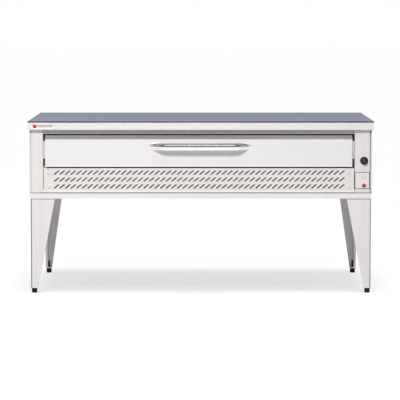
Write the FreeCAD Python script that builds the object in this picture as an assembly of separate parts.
"""Gas deck oven: one wide baking deck on four tapered angle legs.

Frame: +Z up, the front faces -Y, the origin is on the floor at the centre of the overall box.
Millimetres throughout. Every node is one real piece, or a group of like ones.
"""

import FreeCAD
import Part
import math
import os

Vector = FreeCAD.Vector

# ---------------------------------------------------------------- driving dimensions
# hood and casing
HOOD_WIDTH = 1981.0
HOOD_FRONT_OVERHANG = 38.0
HOOD_SIDE_OVERHANG = 7.5
HOOD_REAR_OVERHANG = 2.0
TOP_PLATE_EDGE = 8.0
FASCIA_HEIGHT = 42.0
FASCIA_RETURN = 20.0
BADGE_LENGTH = 124.0
BADGE_MARGIN = 25.0
BODY_DEPTH = 1060.0
SHEET = 1.5
SEAM = 0.8
BEND = 1.4
RUNNING = 0.05

# heights, one above another from the floor
FOOT_HEIGHT = 28.0
LEG_HEIGHT = 517.0
BASE_RAIL_HEIGHT = 32.0
PAN_THICKNESS = 3.0
LOWER_RAIL_HEIGHT = 17.0
VENT_HEIGHT = 122.0
GAP_BELOW_DOOR = 9.0
DOOR_HEIGHT = 180.5
GAP_ABOVE_DOOR = 8.0
HEADER_HEIGHT = 24.5
HEADER_RECESS = 5.0

# widths across the front
STILE_LEFT_WIDTH = 77.0
STILE_RIGHT_WIDTH = 99.5
DOOR_GAP_LEFT = 14.0
DOOR_GAP_RIGHT = 15.0
SIDE_FLANGE_LEFT = 8.5
SIDE_FLANGE_RIGHT = 9.0
SIDE_SEAM_RIGHT = 3.0
REAR_FLANGE = 16.0

# door, its pivot and its handle
DOOR_PROUD = 12.0
DOOR_BEVEL_DEPTH = 16.0
DOOR_BEVEL_HEIGHT = 23.0
DOOR_THICKNESS = 39.0
DOOR_SKIN_DEPTH = 30.0
APRON_DEPTH = 11.5
DOOR_TO_JAMB = 4.0
PIVOT_BEHIND_FACE = 22.0
PIVOT_ABOVE_EDGE = 32.0
LINER_BELOW_PIVOT = 10.0
LINER_MARGIN = 3.0
HANDLE_RADIUS = 21.5
HANDLE_WALL = 2.0
HANDLE_STANDOFF = 55.0
HANDLE_HALF_LENGTH = 291.0
HANDLE_OFFSET_X = -5.0
HANDLE_DROP = 63.5
HANDLE_BEND = 60.0
HANDLE_ANGLE = 45.0
PLUG_LENGTH = 40.0
STUD_RADIUS = 4.0

# hinge and counterweight
SHAFT_RADIUS = 5.0
BUSH_RADIUS = 7.5
BUSH_FLANGE_RADIUS = 9.5
BUSH_FLANGE = 2.0
HINGE_BLOCK_LENGTH = 30.0
BRACKET_THICKNESS = 9.0
BRACKET_HALF_HEIGHT = 20.0
SHAFT_END_PLAY = 6.0
LEVER_THICKNESS = 8.0
LEVER_RADIUS = 8.0
WEIGHT_WIDTH = 44.0
WEIGHT_SIZE = 66.0
WEIGHT_BACK = 48.0
WEIGHT_DROP = 86.0

# baking chamber
CHAMBER_INSET_LEFT = 20.0
CHAMBER_INSET_RIGHT = 16.5
JAMB_DEPTH = 14.0
JAMB_OVERLAP = 8.0
ROOM_BEHIND_CHAMBER = 75.0
HEARTH_THICKNESS = 38.0
HEARTH_SLABS = 3
HEARTH_GAP = 2.0
HEARTH_BELOW_DOOR_FACE = 0.7
CEILING_ABOVE_HEADER = 2.5
SUPPORT_HEIGHT = 12.0
SUPPORT_WIDTH = 30.0
SUPPORT_COUNT = 5
INSULATION_SIDE = 40.0
INSULATION_BACK = 55.0
INSULATION_TOP = 56.0

# burners and gas train
BURNERS = 5
BURNER_RADIUS = 19.0
BURNER_WALL = 2.0
BURNER_END_GAP = 88.0
VENTURI_RADIUS = 27.0
VENTURI_LENGTH = 30.0
BURNER_ABOVE_BODY = 66.0
BURNER_MOUTH_BEHIND_FACE = 72.0
FRONT_BRACKET_BEHIND_MOUTH = 60.0
REAR_BRACKET_BEFORE_END = 60.0
PLATE_BRACKET = 3.0
DEFLECTOR_WIDTH = 120.0
DEFLECTOR_RISE = 16.0
DEFLECTOR_ABOVE_BURNER = 30.0
PIPE_RADIUS = 10.5
PIPE_BEHIND_FACE = 31.0
RISER_RADIUS = 8.0
ORIFICE_RADIUS = 6.0
ORIFICE_LENGTH = 32.0
INLET_LENGTH = 40.0
INLET_NUT = 8.0
INLET_NUT_RADIUS = 16.0
VALVE_WIDTH = 52.0
VALVE_DEPTH = 52.0
VALVE_HEIGHT = 56.0
THERMOSTAT_HEIGHT = 50.0

# slanted louvre slots of the burner compartment's panel
PANEL_RETURN = 15.0
VENT_SIDE_SEAM = 3.0
SLOT_COLUMNS = 52
SLOT_ROWS = 3
SLOT_ROW_PITCH = 39.7
SLOT_RUN = 24.0
SLOT_RISE = 19.5
SLOT_WIDTH = 7.0
SLOT_MARGIN_LEFT = 61.0
SLOT_MARGIN_RIGHT = 57.0
SLOT_TOP_DROP = 11.5
SCREW_INSET_X = 36.5
SCREW_TOP_DROP = 29.0
SCREW_SPACING = 75.0
SCREW_HEAD = 7.0
SCREW_SHANK = 2.5
SCREW_LENGTH = 6.0

# controls on the right-hand stile
CONTROL_X_FROM_EDGE = 46.0
KNOB_RADIUS = 22.0
KNOB_DEPTH = 24.0
KNOB_SKIRT = 4.0
KNOB_GRIP_RADIUS = 17.0
KNOB_BELOW_TOP = 178.0
DIAL_RADIUS = 23.5
KNOB_SHAFT_RADIUS = 3.0
KNOB_SHAFT_REACH = 20.0
BUTTON_RADIUS = 12.0
BUTTON_TRAVEL = 4.0
BUTTON_PROUD = 12.0
BUTTON_STEM_RADIUS = 4.0
BUTTON_CLEARANCE = 0.3
BEZEL_WIDTH = 2.5
BEZEL_PROUD = 5.0
BUTTON_ABOVE_BODY = 41.0
IGNITER_RADIUS = 13.3
IGNITER_LENGTH = 45.0
COVER_WIDTH = 81.0
COVER_HEIGHT = 91.0
COVER_INSET = 3.0
COVER_ABOVE_BODY = 24.5
COVER_SCREW_BELOW_TOP = 26.5

# legs: a tapered angle with a wide and a narrow flange, each with a turned lip
LEG_SHEET = 3.0
RAIL_SHEET = 2.5
RAIL_INSET = 2.0
RAIL_FLANGE = 60.0
LEG_INSET_X = 5.0
REAR_LEG_INSET_X = 23.0
LEG_INSET_FRONT = 3.0
LEG_INSET_REAR = 4.0
WIDE_TOP = 139.0
WIDE_BOTTOM = 40.0
NARROW_TOP = 110.0
NARROW_BOTTOM = 36.0
LEG_LIP = 13.0
LEG_CORNER = 5.0
LEG_PLATE_WIDTH = 50.0
FOOT_PLATE = 8.0
FOOT_FROM_CORNER = 18.5
FOOT_RADIUS = 16.0
FOOT_CLEARANCE = 0.3
STEM_RADIUS = 6.0
STEM_LENGTH = 45.0
BOLT_RADIUS = 4.0
BOLT_CLEARANCE = 0.5
BOLT_HEAD = 13.0
BOLT_HEAD_HEIGHT = 5.5
BOLT_FROM_END = 22.0
BOLT_FROM_SIDE = 28.0

# outlet on the back
FLUE_RADIUS = 60.0
FLUE_LENGTH = 45.0
FLUE_FLANGE = 80.0

# ---------------------------------------------------------------- places worked out from them
Z_LEG = FOOT_HEIGHT
Z_BASE = Z_LEG + LEG_HEIGHT
Z_PAN = Z_BASE + BASE_RAIL_HEIGHT
Z_BODY = Z_PAN + PAN_THICKNESS
Z_RAIL_TOP = Z_BODY + LOWER_RAIL_HEIGHT
Z_VENT = Z_RAIL_TOP + SEAM
Z_VENT_TOP = Z_VENT + VENT_HEIGHT
Z_DOOR = Z_VENT_TOP + GAP_BELOW_DOOR
Z_DOOR_TOP = Z_DOOR + DOOR_HEIGHT
Z_HEADER = Z_DOOR_TOP + GAP_ABOVE_DOOR
Z_HOOD = Z_HEADER + HEADER_HEIGHT
Z_TOP_PLATE = Z_HOOD + FASCIA_HEIGHT
Z_TOP = Z_TOP_PLATE + TOP_PLATE_EDGE
Z_UNDER_TOP = Z_TOP - SHEET

HOOD_HALF = HOOD_WIDTH / 2
BODY_HALF = HOOD_HALF - HOOD_SIDE_OVERHANG
X_OPEN_LEFT = -BODY_HALF + STILE_LEFT_WIDTH
X_OPEN_RIGHT = BODY_HALF - STILE_RIGHT_WIDTH
X_STILE_LEFT = -BODY_HALF + SIDE_FLANGE_LEFT + SEAM
X_STILE_RIGHT = BODY_HALF - SIDE_FLANGE_RIGHT - SIDE_SEAM_RIGHT
X_DOOR_LEFT = X_OPEN_LEFT + DOOR_GAP_LEFT
X_DOOR_RIGHT = X_OPEN_RIGHT - DOOR_GAP_RIGHT
X_CHAMBER_LEFT = X_DOOR_LEFT + CHAMBER_INSET_LEFT
X_CHAMBER_RIGHT = X_DOOR_RIGHT - CHAMBER_INSET_RIGHT
X_CONTROL = BODY_HALF - CONTROL_X_FROM_EDGE

HANDLE_REACH = DOOR_PROUD + HANDLE_STANDOFF + HANDLE_RADIUS
OVERALL_DEPTH = HANDLE_REACH + BODY_DEPTH + FLUE_LENGTH
Y_BODY = -OVERALL_DEPTH / 2 + HANDLE_REACH
Y_BACK = Y_BODY + BODY_DEPTH
Y_HOOD = Y_BODY - HOOD_FRONT_OVERHANG
Y_HOOD_BACK = Y_BACK + HOOD_REAR_OVERHANG
Y_DOOR = Y_BODY - DOOR_PROUD
Y_PIVOT = Y_DOOR + PIVOT_BEHIND_FACE
Y_JAMB = Y_DOOR + DOOR_THICKNESS + DOOR_TO_JAMB
Y_CHAMBER = Y_JAMB + JAMB_DEPTH
Y_CHAMBER_BACK = Y_BACK - ROOM_BEHIND_CHAMBER
Y_BACK_INNER = Y_BACK - 2 * SHEET

Z_PIVOT = Z_DOOR + PIVOT_ABOVE_EDGE
Z_LINER = Z_PIVOT - LINER_BELOW_PIVOT
Z_HANDLE = Z_DOOR_TOP - HANDLE_DROP
Z_HEARTH_TOP = Z_PIVOT + DOOR_THICKNESS - PIVOT_BEHIND_FACE - HEARTH_BELOW_DOOR_FACE
Z_HEARTH = Z_HEARTH_TOP - HEARTH_THICKNESS
Z_SUPPORT = Z_HEARTH - SUPPORT_HEIGHT
Z_CEILING = Z_HEADER + CEILING_ABOVE_HEADER
Z_BURNER = Z_BODY + BURNER_ABOVE_BODY
Z_BUTTON = Z_BODY + BUTTON_ABOVE_BODY
Z_KNOB = Z_HOOD - KNOB_BELOW_TOP
Z_COVER = Z_BODY + COVER_ABOVE_BODY
Z_COVER_SCREW = Z_COVER + COVER_HEIGHT - COVER_SCREW_BELOW_TOP
Z_FLUE = (Z_HEARTH_TOP + Z_CEILING) / 2

X_LEVER = X_OPEN_LEFT - SHEET - BRACKET_THICKNESS - SHEET
X_HEARTH_LEFT = X_CHAMBER_LEFT + SEAM
X_HEARTH_RIGHT = X_CHAMBER_RIGHT - SEAM
Y_BURNER = Y_BODY + BURNER_MOUTH_BEHIND_FACE
Y_BRACKET_FRONT = Y_BURNER + FRONT_BRACKET_BEHIND_MOUTH
Y_BURNER_END = Y_CHAMBER_BACK - BURNER_END_GAP
Y_BRACKET_REAR = Y_BURNER_END - REAR_BRACKET_BEFORE_END
Y_PIPE = Y_BODY + PIPE_BEHIND_FACE
Y_VALVE = Y_BODY + SHEET + SCREW_LENGTH
X_VALVE = X_CONTROL - VALVE_WIDTH / 2
Z_VALVE = Z_BURNER - PIPE_RADIUS - SEAM
Z_INLET = Z_VALVE + VALVE_HEIGHT / 2
Y_INLET = Y_VALVE + VALVE_DEPTH

LEGS = {
    "front_left": (-BODY_HALF + LEG_INSET_X, Y_BODY + LEG_INSET_FRONT, 1, 1),
    "front_right": (BODY_HALF - LEG_INSET_X, Y_BODY + LEG_INSET_FRONT, -1, 1),
    "rear_left": (-BODY_HALF + REAR_LEG_INSET_X, Y_BACK - LEG_INSET_REAR, 1, -1),
    "rear_right": (BODY_HALF - REAR_LEG_INSET_X, Y_BACK - LEG_INSET_REAR, -1, -1),
}


# ---------------------------------------------------------------- small makers
def block(x0, x1, y0, y1, z0, z1):
    """A box between two corners."""
    return Part.makeBox(x1 - x0, y1 - y0, z1 - z0, Vector(x0, y0, z0))


def rod(start, direction, radius, length):
    """A cylinder from a point along a direction."""
    return Part.makeCylinder(radius, length, Vector(*start), Vector(*direction))


def tube(start, direction, outer, inner, length):
    """A straight pipe."""
    return rod(start, direction, outer, length).cut(rod(start, direction, inner, length))


def hexagon(x, y, z0, z1, across):
    """A hexagonal prism standing on Z, as wide across its flats as given."""
    radius = across / math.sqrt(3)
    angles = [math.radians(60 * i) for i in range(6)]
    return prism_z([(x + radius * math.cos(a), y + radius * math.sin(a)) for a in angles], z0, z1)


def prism(points, shift):
    """A closed outline of 3-D points, pushed along a vector."""
    outline = [Vector(*p) for p in points]
    return Part.Face(Part.makePolygon(outline + outline[:1])).extrude(Vector(*shift))


def prism_x(points, x0, x1):
    """An outline in (y, z), pushed from x0 to x1."""
    return prism([(x0, y, z) for y, z in points], (x1 - x0, 0, 0))


def prism_y(points, y0, y1):
    """An outline in (x, z), pushed from y0 to y1."""
    return prism([(x, y0, z) for x, z in points], (0, y1 - y0, 0))


def prism_z(points, z0, z1):
    """An outline in (x, y), pushed from z0 to z1."""
    return prism([(x, y, z0) for x, y in points], (0, 0, z1 - z0))


def join(first, *others):
    """One solid from pieces that touch or overlap."""
    return first.fuse(list(others)).removeSplitter()


def group(solids):
    """Several separate solids kept in one node."""
    return Part.makeCompound(list(solids))


def soften(shape, radius, wanted):
    """Rounds the edges whose middle point passes the test."""
    return shape.makeFillet(radius, [e for e in shape.Edges if wanted(e.CenterOfMass)])


def close_to(value, target):
    """True where two lengths agree to a hundredth."""
    return abs(value - target) < 0.01


def tray(x0, x1, y0, y1, z0, z1, thickness=SHEET):
    """A sheet panel with a face at the front and all four edges turned back, its bends rounded."""
    outer = block(x0, x1, y0, y1, z0, z1)
    outer = soften(outer, BEND, lambda p: close_to(p.y, y0))
    return outer.cut(block(x0 + thickness, x1 - thickness, y0 + thickness, y1, z0 + thickness, z1 - thickness))


def channel_z(x0, x1, y0, y1, z0, z1, thickness=SHEET):
    """An upright sheet channel with its face at the front and its two long edges turned back."""
    outer = block(x0, x1, y0, y1, z0, z1)
    outer = soften(outer, BEND, lambda p: close_to(p.y, y0) and (close_to(p.x, x0) or close_to(p.x, x1)))
    return outer.cut(block(x0 + thickness, x1 - thickness, y0 + thickness, y1, z0, z1))


def spread(first, last, count):
    """Evenly spaced places from the first to the last."""
    return [first + (last - first) * i / (count - 1) for i in range(count)]


# ---------------------------------------------------------------- hood
def top_plate():
    """The flat top: a shallow pan with its edge turned down all round."""
    shell = block(-HOOD_HALF, HOOD_HALF, Y_HOOD, Y_HOOD_BACK, Z_TOP_PLATE, Z_TOP)
    shell = soften(shell, BEND, lambda p: close_to(p.z, Z_TOP))
    return shell.cut(block(-HOOD_HALF + SHEET, HOOD_HALF - SHEET, Y_HOOD + SHEET, Y_HOOD_BACK - SHEET,
                           Z_TOP_PLATE, Z_UNDER_TOP))


def front_fascia():
    """The band across the front, with closed ends, a return under the overhang and one at the top."""
    half = HOOD_HALF - SEAM
    front = Y_HOOD + SEAM
    outer = block(-half, half, front, Y_BODY, Z_HOOD, Z_TOP_PLATE)
    outer = soften(outer, BEND, lambda p: close_to(p.y, front) and not close_to(abs(p.x), half))
    inner = half - SHEET
    hollow = block(-inner, inner, front + SHEET, Y_BODY, Z_HOOD + SHEET, Z_TOP_PLATE - SHEET)
    slot = block(-inner, inner, front + FASCIA_RETURN, Y_BODY, Z_HOOD + SHEET, Z_TOP_PLATE)
    return outer.cut(hollow).cut(slot)


def hood_side_trims():
    """The same band along each side: an upright strip with a return in to the casing."""
    edge = HOOD_HALF - SEAM
    ends = (Y_BODY, Y_HOOD_BACK - SEAM)
    right = join(block(edge - SHEET, edge, *ends, Z_HOOD, Z_TOP_PLATE),
                 block(BODY_HALF, edge, *ends, Z_HOOD, Z_HOOD + SHEET))
    left = join(block(-edge, -edge + SHEET, *ends, Z_HOOD, Z_TOP_PLATE),
                block(-edge, -BODY_HALF, *ends, Z_HOOD, Z_HOOD + SHEET))
    return group([left, right])


def badge_plate():
    """A plain plate with a raised border, on the left end of the fascia."""
    x0 = -HOOD_HALF + BADGE_MARGIN
    x1 = x0 + BADGE_LENGTH
    margin = FASCIA_HEIGHT / 6
    border = 2.0
    y0 = Y_HOOD + SEAM - 2 * SHEET
    z0 = Z_HOOD + margin
    z1 = Z_TOP_PLATE - margin
    plate = block(x0, x1, y0, Y_HOOD + SEAM, z0, z1)
    sunk = block(x0 + border, x1 - border, y0, y0 + SHEET, z0 + border, z1 - border)
    return plate.cut(sunk)


# ---------------------------------------------------------------- casing
def side_panel(side):
    """A side of the casing, with a narrow flange at the front and another at the back."""
    flange = SIDE_FLANGE_LEFT if side < 0 else SIDE_FLANGE_RIGHT
    x_out = side * BODY_HALF
    x_in = x_out - side * SHEET
    skin = block(min(x_out, x_in), max(x_out, x_in), Y_BODY, Y_BACK, Z_BODY, Z_UNDER_TOP)
    x_front = x_out - side * flange
    front = block(min(x_out, x_front), max(x_out, x_front), Y_BODY, Y_BODY + SHEET, Z_BODY, Z_UNDER_TOP)
    x_rear = x_out - side * REAR_FLANGE
    rear = block(min(x_out, x_rear), max(x_out, x_rear), Y_BACK - SHEET, Y_BACK, Z_BODY, Z_UNDER_TOP)
    panel = join(skin, front, rear)
    corners = (Y_BODY, Y_BACK)
    return soften(panel, BEND, lambda p: close_to(p.x, x_out) and any(close_to(p.y, y) for y in corners))


def back_panel():
    """The rear skin behind the side panels' flanges, with holes for the flue and the gas pipe."""
    half = BODY_HALF - SHEET
    skin = block(-half, half, Y_BACK_INNER, Y_BACK - SHEET, Z_BODY, Z_UNDER_TOP)
    flue = rod((0, Y_BACK_INNER, Z_FLUE), (0, 1, 0), FLUE_RADIUS + SEAM, SHEET)
    inlet = rod((X_CONTROL, Y_BACK_INNER, Z_INLET), (0, 1, 0), PIPE_RADIUS + RUNNING, SHEET)
    return skin.cut(flue).cut(inlet)


def bottom_pan():
    """The floor of the casing, with a row of air holes under each burner."""
    pan = block(-BODY_HALF, BODY_HALF, Y_BODY, Y_BACK, Z_PAN, Z_BODY)
    holes = [rod((x, y, Z_PAN), (0, 0, 1), BURNER_RADIUS, PAN_THICKNESS)
             for x in burner_places() for y in spread(Y_BRACKET_FRONT + 80, Y_BRACKET_REAR - 80, 4)]
    return pan.cut(group(holes))


def left_stile():
    """The upright left of the door, its inner return bored for the hinge bush."""
    stile = channel_z(X_STILE_LEFT, X_OPEN_LEFT, Y_BODY, Y_JAMB, Z_BODY, Z_HOOD)
    return stile.cut(rod((X_OPEN_LEFT - 2 * SHEET, Y_PIVOT, Z_PIVOT), (1, 0, 0), BUSH_RADIUS, 3 * SHEET))


def control_stile():
    """The upright right of the door, which carries the controls."""
    stile = channel_z(X_OPEN_RIGHT, X_STILE_RIGHT, Y_BODY, Y_JAMB, Z_BODY, Z_HOOD)
    holes = [rod((X_OPEN_RIGHT - SHEET, Y_PIVOT, Z_PIVOT), (1, 0, 0), BUSH_RADIUS, 3 * SHEET),
             rod((X_OPEN_RIGHT - SHEET, Y_PIPE, Z_BURNER), (1, 0, 0), PIPE_RADIUS + SEAM, 3 * SHEET),
             rod((X_CONTROL, Y_BODY, Z_KNOB), (0, 1, 0), KNOB_SHAFT_RADIUS + SEAM, SHEET),
             rod((X_CONTROL, Y_BODY, Z_BUTTON), (0, 1, 0), BUTTON_RADIUS + SEAM, SHEET),
             rod((X_CONTROL, Y_BODY, Z_COVER_SCREW), (0, 1, 0), SCREW_SHANK + RUNNING, SHEET)]
    return stile.cut(group(holes))


def header_rail():
    """The strip over the door, set back from the stiles, returned to the jamb at its lower edge."""
    x0 = X_OPEN_LEFT + SEAM
    x1 = X_OPEN_RIGHT - SEAM
    front = Y_BODY + HEADER_RECESS
    outer = block(x0, x1, front, Y_JAMB, Z_HEADER, Z_HOOD)
    outer = soften(outer, BEND, lambda p: close_to(p.y, front) and close_to(p.z, Z_HEADER))
    return outer.cut(block(x0, x1, front + SHEET, Y_JAMB, Z_HEADER + SHEET, Z_HOOD))


def lower_rail():
    """The strip under the louvred panel."""
    return tray(X_OPEN_LEFT + SEAM, X_OPEN_RIGHT - SEAM, Y_BODY, Y_BODY + PANEL_RETURN, Z_BODY, Z_RAIL_TOP)


def slot_cutter(x, z):
    """One slanted slot with round ends, as a cutter through the sheet."""
    radius = SLOT_WIDTH / 2
    length = math.hypot(SLOT_RUN, SLOT_RISE)
    across_x = -SLOT_RISE / length * radius
    across_z = SLOT_RUN / length * radius
    corners = [(x + across_x, z + across_z), (x - across_x, z - across_z),
               (x + SLOT_RUN - across_x, z + SLOT_RISE - across_z),
               (x + SLOT_RUN + across_x, z + SLOT_RISE + across_z)]
    ends = [rod((x, Y_BODY, z), (0, 1, 0), radius, SHEET),
            rod((x + SLOT_RUN, Y_BODY, z + SLOT_RISE), (0, 1, 0), radius, SHEET)]
    return join(prism_y(corners, Y_BODY, Y_BODY + SHEET), *ends)


def panel_screw_places():
    """Where the four screws of the louvred panel stand, as (x, z)."""
    x0 = X_OPEN_LEFT + SEAM + SCREW_INSET_X
    x1 = X_OPEN_RIGHT - SEAM - SCREW_INSET_X
    z1 = Z_VENT_TOP - SCREW_TOP_DROP
    return [(x, z) for x in (x0, x1) for z in (z1, z1 - SCREW_SPACING)]


def vent_panel():
    """The louvred panel in front of the burners."""
    x0 = X_OPEN_LEFT + VENT_SIDE_SEAM
    x1 = X_OPEN_RIGHT - VENT_SIDE_SEAM
    panel = tray(x0, x1, Y_BODY, Y_BODY + PANEL_RETURN, Z_VENT, Z_VENT_TOP)
    first = X_OPEN_LEFT + SEAM + SLOT_MARGIN_LEFT + SLOT_WIDTH / 2
    last = X_OPEN_RIGHT - SEAM - SLOT_MARGIN_RIGHT - SLOT_WIDTH / 2 - SLOT_RUN
    top = Z_VENT_TOP - SLOT_TOP_DROP - SLOT_WIDTH / 2 - SLOT_RISE
    cutters = [slot_cutter(x, top - SLOT_ROW_PITCH * j)
               for x in spread(first, last, SLOT_COLUMNS) for j in range(SLOT_ROWS)]
    holes = [rod((x, Y_BODY, z), (0, 1, 0), SCREW_SHANK + RUNNING, SHEET) for x, z in panel_screw_places()]
    return panel.cut(group(cutters)).cut(group(holes))


def screw(x, y, z):
    """A round-headed screw whose head sits on the plane y and whose shank runs back."""
    head = rod((x, y - SHEET, z), (0, 1, 0), SCREW_HEAD, SHEET)
    return join(head, rod((x, y, z), (0, 1, 0), SCREW_SHANK, SCREW_LENGTH))


def panel_screws():
    """The four screws of the louvred panel and the one of the access cover."""
    cover = screw(X_CONTROL, Y_BODY - SHEET, Z_COVER_SCREW)
    return group([screw(x, Y_BODY, z) for x, z in panel_screw_places()] + [cover])


def hinge_covers():
    """A narrow plate beside each end of the door, over the hinge."""
    z0 = Z_PIVOT + BUSH_FLANGE_RADIUS + BUSH_FLANGE_RADIUS / 2
    z1 = Z_DOOR_TOP - DOOR_BEVEL_HEIGHT - BUSH_FLANGE_RADIUS
    y0 = Y_BODY + SHEET
    left = block(X_OPEN_LEFT, X_DOOR_LEFT - SEAM, y0, y0 + SHEET, z0, z1)
    left = join(left, block(X_OPEN_LEFT, X_OPEN_LEFT + SHEET, y0, Y_JAMB, z0, z1))
    right = block(X_DOOR_RIGHT + SEAM, X_OPEN_RIGHT, y0, y0 + SHEET, z0, z1)
    right = join(right, block(X_OPEN_RIGHT - SHEET, X_OPEN_RIGHT, y0, Y_JAMB, z0, z1))
    return group([left, right])


# ---------------------------------------------------------------- base frame, legs and feet
def bolt_places(name):
    """Where the three bolts of a leg stand, as (x, y)."""
    x, y, toward_x, toward_y = LEGS[name]
    along_x, along_y = flange_tops(name)
    spots = [(BOLT_FROM_SIDE, BOLT_FROM_SIDE), (along_x - BOLT_FROM_END, BOLT_FROM_SIDE),
             (BOLT_FROM_SIDE, along_y - BOLT_FROM_END)]
    return [(x + toward_x * a, y + toward_y * b) for a, b in spots]


def base_rails():
    """Four folded channels mitred at the corners: the front and rear pair, and the side pair."""
    x1 = BODY_HALF - RAIL_INSET
    y0 = Y_BODY + RAIL_INSET
    y1 = Y_BACK - RAIL_INSET
    inner_x = x1 - RAIL_FLANGE
    inner_y0 = y0 + RAIL_FLANGE
    inner_y1 = y1 - RAIL_FLANGE
    hollow = block(-x1 + RAIL_SHEET, x1 - RAIL_SHEET, y0 + RAIL_SHEET, y1 - RAIL_SHEET,
                   Z_BASE + RAIL_SHEET, Z_PAN - RAIL_SHEET)
    holes = [rod((x, y, Z_BASE), (0, 0, 1), BOLT_RADIUS + BOLT_CLEARANCE, RAIL_SHEET)
             for name in LEGS for x, y in bolt_places(name)]
    cross = [[(-x1, y0), (x1, y0), (inner_x, inner_y0), (-inner_x, inner_y0)],
             [(-x1, y1), (x1, y1), (inner_x, inner_y1), (-inner_x, inner_y1)]]
    side = [[(-x1, y0), (-x1, y1), (-inner_x, inner_y1), (-inner_x, inner_y0)],
            [(x1, y0), (x1, y1), (inner_x, inner_y1), (inner_x, inner_y0)]]
    pairs = []
    for outlines in (cross, side):
        pairs.append(group(prism_z(o, Z_BASE, Z_PAN).cut(hollow).cut(group(holes)) for o in outlines))
    return pairs


def flange_tops(name):
    """How wide a leg's flanges are at the top: across the oven, then along its side."""
    return (WIDE_TOP, NARROW_TOP) if name.startswith("front") else (NARROW_TOP, WIDE_TOP)


def flange_bottoms(name):
    """How wide a leg's flanges are at the bottom: across the oven, then along its side."""
    return (WIDE_BOTTOM, NARROW_BOTTOM) if name.startswith("front") else (NARROW_BOTTOM, WIDE_BOTTOM)


def leg(name):
    """A tapered angle leg with lips, a top plate for its bolts and a foot plate, as one weldment."""
    x, y, toward_x, toward_y = LEGS[name]
    top_x, top_y = flange_tops(name)
    low_x, low_y = flange_bottoms(name)
    across = [(0, Z_LEG), (low_x, Z_LEG), (top_x, Z_BASE), (0, Z_BASE)]
    along = [(0, Z_LEG), (low_y, Z_LEG), (top_y, Z_BASE), (0, Z_BASE)]
    lip_x = [(low_x - LEG_SHEET, Z_LEG), (low_x, Z_LEG), (top_x, Z_BASE), (top_x - LEG_SHEET, Z_BASE)]
    lip_y = [(low_y - LEG_SHEET, Z_LEG), (low_y, Z_LEG), (top_y, Z_BASE), (top_y - LEG_SHEET, Z_BASE)]
    bench = LEG_PLATE_WIDTH
    plate = [(0, 0), (top_x, 0), (top_x, bench), (bench, bench), (bench, top_y), (0, top_y)]
    shape = join(prism_y(across, 0, LEG_SHEET), prism_x(along, 0, LEG_SHEET))
    shape = join(shape, prism_y(lip_x, 0, LEG_LIP), prism_x(lip_y, 0, LEG_LIP),
                 prism_z(plate, Z_BASE - LEG_SHEET, Z_BASE),
                 block(0, low_x, 0, low_y, Z_LEG, Z_LEG + FOOT_PLATE))
    shape = soften(shape, LEG_CORNER, lambda p: close_to(p.x, 0) and close_to(p.y, 0))
    stem = rod((FOOT_FROM_CORNER, FOOT_FROM_CORNER, Z_LEG), (0, 0, 1), STEM_RADIUS + RUNNING, FOOT_PLATE)
    shape = shape.cut(stem)
    if toward_x < 0:
        shape = shape.mirror(Vector(0, 0, 0), Vector(1, 0, 0))
    if toward_y < 0:
        shape = shape.mirror(Vector(0, 0, 0), Vector(0, 1, 0))
    shape.translate(Vector(x, y, 0))
    holes = [rod((a, b, Z_BASE - LEG_SHEET), (0, 0, 1), BOLT_RADIUS + BOLT_CLEARANCE, LEG_SHEET)
             for a, b in bolt_places(name)]
    return shape.cut(group(holes))


def leg_bolt(x, y):
    """A hexagon bolt up through a leg's plate and a rail's flange, with its nut."""
    under = Z_BASE - LEG_SHEET
    over = Z_BASE + RAIL_SHEET
    head = hexagon(x, y, under - BOLT_HEAD_HEIGHT, under, BOLT_HEAD)
    shank = rod((x, y, under), (0, 0, 1), BOLT_RADIUS, LEG_SHEET + RAIL_SHEET + 2 * BOLT_HEAD_HEIGHT)
    nut = hexagon(x, y, over, over + BOLT_HEAD_HEIGHT, BOLT_HEAD)
    return join(head, shank, nut)


def leg_bolts():
    """All twelve leg bolts."""
    return group(leg_bolt(x, y) for name in LEGS for x, y in bolt_places(name))


def foot(name):
    """A levelling foot: a round pad on a threaded stem that screws into the leg's foot plate."""
    x, y, toward_x, toward_y = LEGS[name]
    x += toward_x * FOOT_FROM_CORNER
    y += toward_y * FOOT_FROM_CORNER
    pad = rod((x, y, 0), (0, 0, 1), FOOT_RADIUS, FOOT_HEIGHT - FOOT_CLEARANCE)
    pad = soften(pad, FOOT_RADIUS / 8, lambda p: close_to(p.z, 0))
    return join(pad, rod((x, y, FOOT_HEIGHT / 2), (0, 0, 1), STEM_RADIUS, FOOT_HEIGHT / 2 + STEM_LENGTH))


# ---------------------------------------------------------------- baking chamber
def mouth_frame():
    """The frame round the chamber's mouth that the door closes against, with the sill under it."""
    x0 = X_OPEN_LEFT - JAMB_OVERLAP
    x1 = X_OPEN_RIGHT + JAMB_OVERLAP
    z1 = Z_HOOD
    frame = block(x0, x1, Y_JAMB, Y_CHAMBER, Z_PIVOT + BUSH_RADIUS, z1)
    mouth = block(X_CHAMBER_LEFT, X_CHAMBER_RIGHT, Y_JAMB, Y_CHAMBER, Z_DOOR, Z_CEILING)
    return frame.cut(mouth)


def hearth_sill():
    """A plate that closes the front of the hearth and its supports."""
    return block(X_CHAMBER_LEFT, X_CHAMBER_RIGHT, Y_CHAMBER - SHEET, Y_CHAMBER, Z_SUPPORT, Z_HEARTH_TOP)


def chamber_walls():
    """The left and right walls of the chamber, which stand on the bottom pan."""
    ends = (Y_CHAMBER, Y_CHAMBER_BACK, Z_BODY, Z_CEILING)
    return group([block(X_CHAMBER_LEFT - SHEET, X_CHAMBER_LEFT, *ends),
                  block(X_CHAMBER_RIGHT, X_CHAMBER_RIGHT + SHEET, *ends)])


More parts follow.
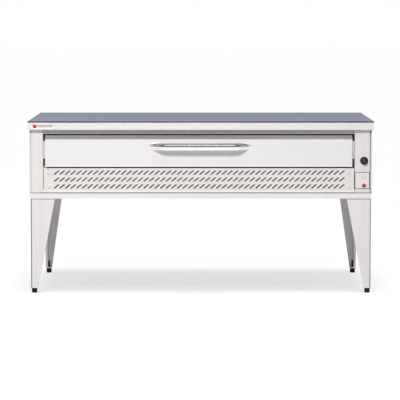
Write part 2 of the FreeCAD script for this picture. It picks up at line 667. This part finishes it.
def chamber_back():
    """The rear wall of the chamber, with the flue hole."""
    wall = block(X_CHAMBER_LEFT - SHEET, X_CHAMBER_RIGHT + SHEET, Y_CHAMBER_BACK, Y_CHAMBER_BACK + SHEET,
                 Z_BODY, Z_CEILING)
    return wall.cut(rod((0, Y_CHAMBER_BACK, Z_FLUE), (0, 1, 0), FLUE_RADIUS - 2 * SHEET, SHEET))


def chamber_ceiling():
    """The top of the chamber, laid on its three walls and the mouth frame."""
    return block(X_CHAMBER_LEFT - SHEET, X_CHAMBER_RIGHT + SHEET, Y_CHAMBER, Y_CHAMBER_BACK + SHEET,
                 Z_CEILING, Z_CEILING + SHEET)


def hearth_slabs():
    """Stone slabs side by side, with a small gap between them."""
    width = (X_HEARTH_RIGHT - X_HEARTH_LEFT - HEARTH_GAP * (HEARTH_SLABS - 1)) / HEARTH_SLABS
    slabs = []
    for i in range(HEARTH_SLABS):
        x = X_HEARTH_LEFT + i * (width + HEARTH_GAP)
        slabs.append(block(x, x + width, Y_CHAMBER, Y_CHAMBER_BACK - SEAM, Z_HEARTH, Z_HEARTH_TOP))
    return group(slabs)


def hearth_supports():
    """Steel bars from front to back under the slabs, laid on the burner brackets."""
    places = spread(X_HEARTH_LEFT, X_HEARTH_RIGHT - SUPPORT_WIDTH, SUPPORT_COUNT)
    return group(block(x, x + SUPPORT_WIDTH, Y_CHAMBER, Y_CHAMBER_BACK, Z_SUPPORT, Z_HEARTH) for x in places)


def insulation_sides():
    """Mineral wool outside the chamber's left and right walls, standing on the pan."""
    ends = (Y_CHAMBER, Y_CHAMBER_BACK + SHEET, Z_BODY, Z_CEILING + SHEET)
    x0 = X_CHAMBER_LEFT - SHEET
    x1 = X_CHAMBER_RIGHT + SHEET
    return group([block(x0 - INSULATION_SIDE, x0, *ends), block(x1, x1 + INSULATION_SIDE, *ends)])


def insulation_back():
    """Mineral wool behind the chamber, with a hole for the flue."""
    y0 = Y_CHAMBER_BACK + SHEET
    wool = block(X_CHAMBER_LEFT - SHEET, X_CHAMBER_RIGHT + SHEET, y0, y0 + INSULATION_BACK, Z_BODY,
                 Z_CEILING + SHEET)
    return wool.cut(rod((0, y0, Z_FLUE), (0, 1, 0), FLUE_RADIUS, INSULATION_BACK))


def insulation_top():
    """Mineral wool over the chamber."""
    z0 = Z_CEILING + SHEET
    return block(X_CHAMBER_LEFT - SHEET - INSULATION_SIDE, X_CHAMBER_RIGHT + SHEET + INSULATION_SIDE,
                 Y_CHAMBER, Y_CHAMBER_BACK + SHEET + INSULATION_BACK, z0, z0 + INSULATION_TOP)


def flue_collar():
    """The round flue from the chamber's back wall out through the casing, with its flange."""
    y0 = Y_CHAMBER_BACK + SHEET
    pipe = rod((0, y0, Z_FLUE), (0, 1, 0), FLUE_RADIUS, Y_BACK + FLUE_LENGTH - y0)
    flange = rod((0, Y_BACK - SHEET, Z_FLUE), (0, 1, 0), FLUE_FLANGE, 2 * SHEET)
    bore = rod((0, y0, Z_FLUE), (0, 1, 0), FLUE_RADIUS - SHEET, Y_BACK + FLUE_LENGTH - y0)
    return join(pipe, flange).cut(bore)


# ---------------------------------------------------------------- burners and gas train
def burner_places():
    """Where the burners stand across the oven."""
    step = (X_CHAMBER_RIGHT - X_CHAMBER_LEFT) / BURNERS
    return [X_CHAMBER_LEFT + step * (i + 0.5) for i in range(BURNERS)]


def burner_tubes():
    """Pipe burners from front to back, each with a flared air mouth and a closed end."""
    burners = []
    for x in burner_places():
        flare = Part.makeCone(VENTURI_RADIUS, BURNER_RADIUS, VENTURI_LENGTH, Vector(x, Y_BURNER, Z_BURNER),
                              Vector(0, 1, 0))
        inner = Part.makeCone(VENTURI_RADIUS - BURNER_WALL, BURNER_RADIUS - BURNER_WALL, VENTURI_LENGTH,
                              Vector(x, Y_BURNER, Z_BURNER), Vector(0, 1, 0))
        y1 = Y_BURNER + VENTURI_LENGTH
        length = Y_BURNER_END - y1
        pipe = rod((x, y1, Z_BURNER), (0, 1, 0), BURNER_RADIUS, length)
        bore = rod((x, y1, Z_BURNER), (0, 1, 0), BURNER_RADIUS - BURNER_WALL, length - BURNER_WALL)
        burners.append(join(flare, pipe).cut(join(inner, bore)))
    return group(burners)


def burner_brackets():
    """Two upright plates across the oven that carry the burners and the hearth supports."""
    plates = []
    for y in (Y_BRACKET_FRONT, Y_BRACKET_REAR):
        plate = block(X_CHAMBER_LEFT, X_CHAMBER_RIGHT, y, y + PLATE_BRACKET, Z_BODY, Z_SUPPORT)
        holes = [rod((x, y, Z_BURNER), (0, 1, 0), BURNER_RADIUS + RUNNING, PLATE_BRACKET)
                 for x in burner_places()]
        plates.append(plate.cut(group(holes)))
    return group(plates)


def flame_deflectors():
    """A shallow roof of sheet over each burner, held between the brackets."""
    half = DEFLECTOR_WIDTH / 2
    z = Z_BURNER + DEFLECTOR_ABOVE_BURNER
    roofs = []
    for x in burner_places():
        outline = [(x - half, z), (x, z + DEFLECTOR_RISE), (x + half, z),
                   (x + half, z + 2 * SHEET), (x, z + DEFLECTOR_RISE + 2 * SHEET), (x - half, z + 2 * SHEET)]
        roofs.append(prism_y(outline, Y_BRACKET_FRONT + PLATE_BRACKET, Y_BRACKET_REAR))
    return group(roofs)


def gas_manifold():
    """The pipe behind the louvred panel that feeds every burner."""
    x0 = burner_places()[0] - VENTURI_RADIUS
    pipe = rod((x0, Y_PIPE, Z_BURNER), (1, 0, 0), PIPE_RADIUS, X_VALVE - x0)
    taps = [rod((x, Y_PIPE, Z_BURNER), (0, 1, 0), ORIFICE_RADIUS, ORIFICE_LENGTH) for x in burner_places()]
    return pipe.cut(group(taps))


def burner_orifices():
    """A brass jet for each burner, screwed into the manifold and aimed down the burner's mouth."""
    jets = []
    for x in burner_places():
        jet = rod((x, Y_PIPE, Z_BURNER), (0, 1, 0), ORIFICE_RADIUS, ORIFICE_LENGTH)
        nose = Part.makeCone(ORIFICE_RADIUS, ORIFICE_RADIUS / 2, ORIFICE_RADIUS,
                             Vector(x, Y_PIPE + ORIFICE_LENGTH, Z_BURNER), Vector(0, 1, 0))
        drill = rod((x, Y_PIPE, Z_BURNER), (0, 1, 0), SHEET / 2, ORIFICE_LENGTH + ORIFICE_RADIUS)
        jets.append(join(jet, nose).cut(drill))
    return group(jets)


def gas_valve():
    """The safety valve between the inlet pipe and the manifold."""
    body = block(X_VALVE, X_VALVE + VALVE_WIDTH, Y_VALVE, Y_VALVE + VALVE_DEPTH, Z_VALVE, Z_VALVE + VALVE_HEIGHT)
    return soften(body, LEG_CORNER, lambda p: close_to(p.z, Z_VALVE + VALVE_HEIGHT / 2))


def gas_pipes():
    """The inlet pipe, with its lock nut at the back, and the riser from the valve to the thermostat."""
    start = (X_CONTROL, Y_INLET, Z_INLET)
    length = Y_BACK + INLET_LENGTH - Y_INLET
    nut = rod((X_CONTROL, Y_BACK - SHEET, Z_INLET), (0, 1, 0), INLET_NUT_RADIUS, INLET_NUT)
    inlet = join(rod(start, (0, 1, 0), PIPE_RADIUS, length), nut)
    inlet = inlet.cut(rod(start, (0, 1, 0), PIPE_RADIUS - 2 * SHEET, length))
    z0 = Z_VALVE + VALVE_HEIGHT
    riser = tube((X_CONTROL, Y_VALVE + VALVE_DEPTH / 2, z0), (0, 0, 1), RISER_RADIUS, RISER_RADIUS - SHEET,
                 Z_KNOB - THERMOSTAT_HEIGHT / 2 - z0)
    return group([inlet, riser])


def thermostat_body():
    """The thermostatic gas valve behind the knob, bored for the knob's shaft."""
    front = Y_BODY + SHEET
    body = block(X_VALVE, X_VALVE + VALVE_WIDTH, front, Y_VALVE + VALVE_DEPTH,
                 Z_KNOB - THERMOSTAT_HEIGHT / 2, Z_KNOB + THERMOSTAT_HEIGHT / 2)
    body = soften(body, LEG_CORNER, lambda p: close_to(p.z, Z_KNOB))
    return body.cut(rod((X_CONTROL, front, Z_KNOB), (0, 1, 0), KNOB_SHAFT_RADIUS + RUNNING,
                        KNOB_SHAFT_REACH + SEAM))


# ---------------------------------------------------------------- controls
def thermostat_dial():
    """A thin dial plate on the stile, round the knob's shaft."""
    return tube((X_CONTROL, Y_BODY - SHEET, Z_KNOB), (0, 1, 0), DIAL_RADIUS, KNOB_SHAFT_RADIUS + SEAM, SHEET)


def thermostat_knob():
    """The round knob with a skirt, a grip, a pointer rib and its shaft."""
    back = Y_BODY - 2 * SHEET
    skirt = rod((X_CONTROL, back, Z_KNOB), (0, -1, 0), KNOB_RADIUS, KNOB_SKIRT)
    grip = rod((X_CONTROL, back, Z_KNOB), (0, -1, 0), KNOB_GRIP_RADIUS, KNOB_DEPTH)
    face = back - KNOB_DEPTH
    grip = soften(grip, KNOB_SKIRT / 2, lambda p: close_to(p.y, face))
    rib = block(X_CONTROL - SHEET, X_CONTROL + SHEET, face, back, Z_KNOB, Z_KNOB + KNOB_RADIUS - SHEET)
    shaft = rod((X_CONTROL, back - KNOB_SKIRT, Z_KNOB), (0, 1, 0), KNOB_SHAFT_RADIUS,
                KNOB_SKIRT + 3 * SHEET + KNOB_SHAFT_REACH)
    return join(skirt, grip, rib, shaft)


def access_cover():
    """A flat cover on the stile, round the igniter button."""
    x0 = X_OPEN_RIGHT + COVER_INSET
    plate = block(x0, x0 + COVER_WIDTH, Y_BODY - SHEET, Y_BODY, Z_COVER, Z_COVER + COVER_HEIGHT)
    holes = [rod((X_CONTROL, Y_BODY - SHEET, Z_BUTTON), (0, 1, 0), BUTTON_RADIUS + SEAM, SHEET),
             rod((X_CONTROL, Y_BODY - SHEET, Z_COVER_SCREW), (0, 1, 0), SCREW_SHANK + RUNNING, SHEET)]
    return plate.cut(group(holes))


def igniter_bezel():
    """The collar round the igniter button."""
    y0 = Y_BODY - SHEET - BEZEL_PROUD
    return tube((X_CONTROL, y0, Z_BUTTON), (0, 1, 0), BUTTON_RADIUS + BEZEL_WIDTH,
                BUTTON_RADIUS + BUTTON_CLEARANCE, BEZEL_PROUD)


def igniter_body():
    """The spark module behind the stile, bored for the button's stem."""
    front = Y_BODY + SHEET
    body = rod((X_CONTROL, front, Z_BUTTON), (0, 1, 0), IGNITER_RADIUS, IGNITER_LENGTH)
    depth = BUTTON_TRAVEL + 4 * SHEET + BUTTON_PROUD
    return body.cut(rod((X_CONTROL, front, Z_BUTTON), (0, 1, 0), BUTTON_STEM_RADIUS + RUNNING, depth))


def igniter_button():
    """The domed push button on its stem."""
    front = Y_BODY - SHEET - BUTTON_PROUD
    cap = rod((X_CONTROL, front, Z_BUTTON), (0, 1, 0), BUTTON_RADIUS, BUTTON_PROUD - BUTTON_TRAVEL)
    cap = soften(cap, BUTTON_RADIUS / 2, lambda p: close_to(p.y, front))
    stem = rod((X_CONTROL, front + BUTTON_RADIUS / 2, Z_BUTTON), (0, 1, 0), BUTTON_STEM_RADIUS,
               BUTTON_PROUD + BUTTON_PROUD)
    return join(cap, stem)


# ---------------------------------------------------------------- door
def door_outline(inset):
    """The door panel's section in (y, z), shrunk on every side by an inset."""
    slope = math.hypot(DOOR_BEVEL_DEPTH, DOOR_BEVEL_HEIGHT)
    start = inset * (1 - DOOR_BEVEL_HEIGHT / slope) / DOOR_BEVEL_DEPTH
    stop = 1 - inset * (1 - DOOR_BEVEL_DEPTH / slope) / DOOR_BEVEL_HEIGHT
    z_low = Z_DOOR_TOP - DOOR_BEVEL_HEIGHT * (1 - start) - inset * DOOR_BEVEL_DEPTH / slope
    y_high = Y_DOOR + DOOR_BEVEL_DEPTH * stop + inset * DOOR_BEVEL_HEIGHT / slope
    rear = Y_DOOR + DOOR_SKIN_DEPTH
    apron = Y_DOOR + APRON_DEPTH - inset
    top = Z_DOOR_TOP - inset
    return [(Y_DOOR + inset, Z_DOOR + inset), (Y_DOOR + inset, z_low), (y_high, top), (rear, top),
            (rear, Z_LINER + inset), (apron, Z_LINER + inset), (apron, Z_DOOR + inset)]


def door_panel():
    """The outer door skin: face, sloped top, ends and apron, open at the back."""
    shell = prism_x(door_outline(0), X_DOOR_LEFT, X_DOOR_RIGHT)
    hollow = prism_x(door_outline(SHEET), X_DOOR_LEFT + SHEET, X_DOOR_RIGHT - SHEET)
    axle = rod((X_DOOR_LEFT - SHEET, Y_PIVOT, Z_PIVOT), (1, 0, 0), SHAFT_RADIUS + RUNNING,
               X_DOOR_RIGHT - X_DOOR_LEFT + 2 * SHEET)
    studs = [rod((x, Y_DOOR, Z_HANDLE), (0, 1, 0), STUD_RADIUS + RUNNING, SHEET) for x in handle_ends()]
    return shell.cut(hollow).cut(axle).cut(group(studs))


def door_liner():
    """The inner door sheet, a tray turned forward that closes the back of the door panel."""
    x0 = X_DOOR_LEFT + LINER_MARGIN
    x1 = X_DOOR_RIGHT - LINER_MARGIN
    y0 = Y_DOOR + DOOR_SKIN_DEPTH
    y1 = Y_DOOR + DOOR_THICKNESS
    z0 = Z_LINER
    z1 = Z_DOOR_TOP - LINER_MARGIN
    outer = soften(block(x0, x1, y0, y1, z0, z1), BEND, lambda p: close_to(p.y, y1))
    return outer.cut(block(x0 + SHEET, x1 - SHEET, y0, y1 - SHEET, z0 + SHEET, z1 - SHEET))


def hinge_block_ends():
    """The two hinge blocks' ends along X, inside the door."""
    left = X_DOOR_LEFT + SHEET
    right = X_DOOR_RIGHT - SHEET
    return [(left, left + HINGE_BLOCK_LENGTH), (right - HINGE_BLOCK_LENGTH, right)]


def hinge_block(x0, x1):
    """The block inside the door's end that holds the hinge shaft."""
    half = LINER_BELOW_PIVOT - SHEET
    return block(x0, x1, Y_PIVOT - half, Y_PIVOT + DOOR_SKIN_DEPTH - PIVOT_BEHIND_FACE, Z_PIVOT - half,
                 Z_PIVOT + half)


def hinge_pins():
    """The two hinge shafts, each with its block; the left one runs on to carry the counterweight."""
    (a, b), (c, d) = hinge_block_ends()
    x_left = X_LEVER - LEVER_THICKNESS
    x_right = X_OPEN_RIGHT + SHEET + BRACKET_THICKNESS + SHAFT_END_PLAY
    left = join(hinge_block(a, b), rod((x_left, Y_PIVOT, Z_PIVOT), (1, 0, 0), SHAFT_RADIUS, b - x_left))
    right = join(hinge_block(c, d), rod((c, Y_PIVOT, Z_PIVOT), (1, 0, 0), SHAFT_RADIUS, x_right - c))
    return group([left, right])


def door_insulation():
    """The wool that fills the door, cut away round the hinge blocks and the handle's nuts."""
    gap = SHEET + SEAM / 2
    wool = prism_x(door_outline(gap), X_DOOR_LEFT + gap, X_DOOR_RIGHT - gap)
    low = block(X_DOOR_LEFT, X_DOOR_RIGHT, Y_DOOR, Y_BODY + DOOR_THICKNESS, Z_DOOR, Z_LINER + gap)
    wool = wool.cut(low)
    for x0, x1 in hinge_block_ends():
        wool = wool.cut(block(x0 - SEAM, x1 + SEAM, Y_DOOR, Y_BODY + DOOR_THICKNESS, Z_LINER,
                              Z_PIVOT + LINER_BELOW_PIVOT))
    nuts = [rod((x, Y_DOOR, Z_HANDLE), (0, 1, 0), BOLT_HEAD, 2 * BOLT_HEAD_HEIGHT) for x in handle_ends()]
    return wool.cut(group(nuts))


def hinge_brackets():
    """A thick plate behind each stile's inner return, bored for the bush."""
    ends = (Y_BODY + SHEET, Y_JAMB, Z_PIVOT - BRACKET_HALF_HEIGHT, Z_PIVOT + BRACKET_HALF_HEIGHT)
    x_left = X_OPEN_LEFT - SHEET
    x_right = X_OPEN_RIGHT + SHEET
    plates = [block(x_left - BRACKET_THICKNESS, x_left, *ends), block(x_right, x_right + BRACKET_THICKNESS, *ends)]
    starts = [x_left - BRACKET_THICKNESS, x_right]
    return group(plate.cut(rod((x, Y_PIVOT, Z_PIVOT), (1, 0, 0), BUSH_RADIUS, BRACKET_THICKNESS))
                 for plate, x in zip(plates, starts))


def hinge_bushes():
    """A flanged brass bush in each bracket, its flange toward the door."""
    length = SHEET + BRACKET_THICKNESS
    starts = [(X_OPEN_LEFT, -1), (X_OPEN_RIGHT, 1)]
    bushes = []
    for x, outward in starts:
        barrel = rod((x, Y_PIVOT, Z_PIVOT), (outward, 0, 0), BUSH_RADIUS, length)
        flange = rod((x, Y_PIVOT, Z_PIVOT), (-outward, 0, 0), BUSH_FLANGE_RADIUS, BUSH_FLANGE)
        bore = rod((x - length, Y_PIVOT, Z_PIVOT), (1, 0, 0), SHAFT_RADIUS + RUNNING, 2 * length)
        bushes.append(join(barrel, flange).cut(bore))
    return group(bushes)


def counterweight():
    """The lever on the left hinge shaft and the block that balances the door, as one casting."""
    x1 = X_LEVER
    x0 = X_LEVER - LEVER_THICKNESS
    length = math.hypot(WEIGHT_BACK, WEIGHT_DROP)
    ny = WEIGHT_DROP / length * LEVER_RADIUS
    nz = WEIGHT_BACK / length * LEVER_RADIUS
    y1 = Y_PIVOT + WEIGHT_BACK
    z1 = Z_PIVOT - WEIGHT_DROP
    bar = prism_x([(Y_PIVOT + ny, Z_PIVOT + nz), (Y_PIVOT - ny, Z_PIVOT - nz), (y1 - ny, z1 - nz),
                   (y1 + ny, z1 + nz)], x0, x1)
    hub = rod((x0, Y_PIVOT, Z_PIVOT), (1, 0, 0), LEVER_RADIUS, LEVER_THICKNESS)
    half = WEIGHT_SIZE / 2
    weight = block(x1 - WEIGHT_WIDTH, x1, y1 - half, y1 + half, z1 - half, z1 + half)
    weight = soften(weight, LEG_CORNER, lambda p: close_to(abs(p.y - y1), half) and close_to(abs(p.z - z1), half))
    bore = rod((x0, Y_PIVOT, Z_PIVOT), (1, 0, 0), SHAFT_RADIUS + RUNNING, LEVER_THICKNESS)
    return join(bar, hub, weight).cut(bore)


def handle_run():
    """How far in from the tip the handle's centre line meets the door, along X."""
    return HANDLE_RADIUS / math.sin(math.radians(HANDLE_ANGLE))


def handle_ends():
    """Where the handle's centre line meets the door face, left and right."""
    reach = HANDLE_HALF_LENGTH - handle_run()
    return [HANDLE_OFFSET_X - reach, HANDLE_OFFSET_X + reach]


def handle_bar(radius):
    """A solid bar along the handle's centre line, run on into the door so that it can be cut flush."""
    slope = math.tan(math.radians(HANDLE_ANGLE))
    x0, x1 = handle_ends()
    front = Y_DOOR - HANDLE_STANDOFF
    run = HANDLE_STANDOFF / slope
    deep = 2 * HANDLE_RADIUS
    path = [Vector(x0 - deep / slope, Y_DOOR + deep, Z_HANDLE), Vector(x0 + run, front, Z_HANDLE),
            Vector(x1 - run, front, Z_HANDLE), Vector(x1 + deep / slope, Y_DOOR + deep, Z_HANDLE)]
    reach = HANDLE_BEND * math.tan(math.radians(HANDLE_ANGLE) / 2)
    edges = []
    last = path[0]
    for before, corner, after in zip(path, path[1:], path[2:]):
        back = (before - corner).normalize()
        ahead = (after - corner).normalize()
        away = HANDLE_BEND / math.cos(math.radians(HANDLE_ANGLE) / 2) - HANDLE_BEND
        middle = corner + (back + ahead).normalize() * away
        edges.append(Part.makeLine(last, corner + back * reach))
        edges.append(Part.Arc(corner + back * reach, middle, corner + ahead * reach).toShape())
        last = corner + ahead * reach
    edges.append(Part.makeLine(last, path[-1]))
    ring = Part.Wire([Part.makeCircle(radius, path[0], path[1] - path[0])])
    return Part.Wire(edges).makePipeShell([ring], True, False)


def door_handle():
    """The tube handle, bent back at both ends and cut flush on the door."""
    inside = block(-HOOD_HALF, HOOD_HALF, Y_DOOR, Y_DOOR + BODY_DEPTH, Z_DOOR, Z_HOOD)
    return handle_bar(HANDLE_RADIUS).cut(handle_bar(HANDLE_RADIUS - HANDLE_WALL)).cut(inside)


def handle_studs():
    """A slanted plug in each end of the handle, with a stud and nut through the door's face."""
    bar = handle_bar(HANDLE_RADIUS - HANDLE_WALL - RUNNING)
    studs = []
    for x in handle_ends():
        zone = block(x - 2 * PLUG_LENGTH, x + 2 * PLUG_LENGTH, Y_DOOR - PLUG_LENGTH / 2, Y_DOOR, Z_DOOR, Z_HOOD)
        stud = rod((x, Y_DOOR - STUD_RADIUS, Z_HANDLE), (0, 1, 0), STUD_RADIUS, STUD_RADIUS + 2 * STUD_RADIUS)
        nut = rod((x, Y_DOOR + SHEET, Z_HANDLE), (0, 1, 0), 2 * STUD_RADIUS, BOLT_HEAD_HEIGHT)
        studs.append(join(bar.common(zone), stud, nut))
    return group(studs)


# ---------------------------------------------------------------- all nodes
def nodes():
    """Every node's name and shape."""
    made = {
        "top_plate": top_plate(),
        "front_fascia": front_fascia(),
        "hood_side_trims": hood_side_trims(),
        "badge_plate": badge_plate(),
        "side_panel_left": side_panel(-1),
        "side_panel_right": side_panel(1),
        "back_panel": back_panel(),
        "bottom_pan": bottom_pan(),
        "left_stile": left_stile(),
        "control_stile": control_stile(),
        "header_rail": header_rail(),
        "lower_rail": lower_rail(),
        "vent_panel": vent_panel(),
        "panel_screws": panel_screws(),
        "hinge_covers": hinge_covers(),
        "leg_bolts": leg_bolts(),
        "mouth_frame": mouth_frame(),
        "hearth_sill": hearth_sill(),
        "chamber_walls": chamber_walls(),
        "chamber_back": chamber_back(),
        "chamber_ceiling": chamber_ceiling(),
        "hearth_slabs": hearth_slabs(),
        "hearth_supports": hearth_supports(),
        "insulation_sides": insulation_sides(),
        "insulation_back": insulation_back(),
        "insulation_top": insulation_top(),
        "flue_collar": flue_collar(),
        "burner_tubes": burner_tubes(),
        "burner_brackets": burner_brackets(),
        "flame_deflectors": flame_deflectors(),
        "gas_manifold": gas_manifold(),
        "burner_orifices": burner_orifices(),
        "gas_valve": gas_valve(),
        "gas_pipes": gas_pipes(),
        "thermostat_body": thermostat_body(),
        "thermostat_dial": thermostat_dial(),
        "thermostat_knob": thermostat_knob(),
        "access_cover": access_cover(),
        "igniter_bezel": igniter_bezel(),
        "igniter_body": igniter_body(),
        "igniter_button": igniter_button(),
        "door_panel": door_panel(),
        "door_liner": door_liner(),
        "door_insulation": door_insulation(),
        "door_handle": door_handle(),
        "handle_studs": handle_studs(),
        "hinge_pins": hinge_pins(),
        "hinge_brackets": hinge_brackets(),
        "hinge_bushes": hinge_bushes(),
        "counterweight": counterweight(),
    }
    made["base_cross_rails"], made["base_side_rails"] = base_rails()
    for name in LEGS:
        made["leg_" + name] = leg(name)
        made["foot_" + name] = foot(name)
    return made


os.makedirs("parts", exist_ok=True)
for node, shape in nodes().items():
    shape.exportStep("parts/" + node + ".step")
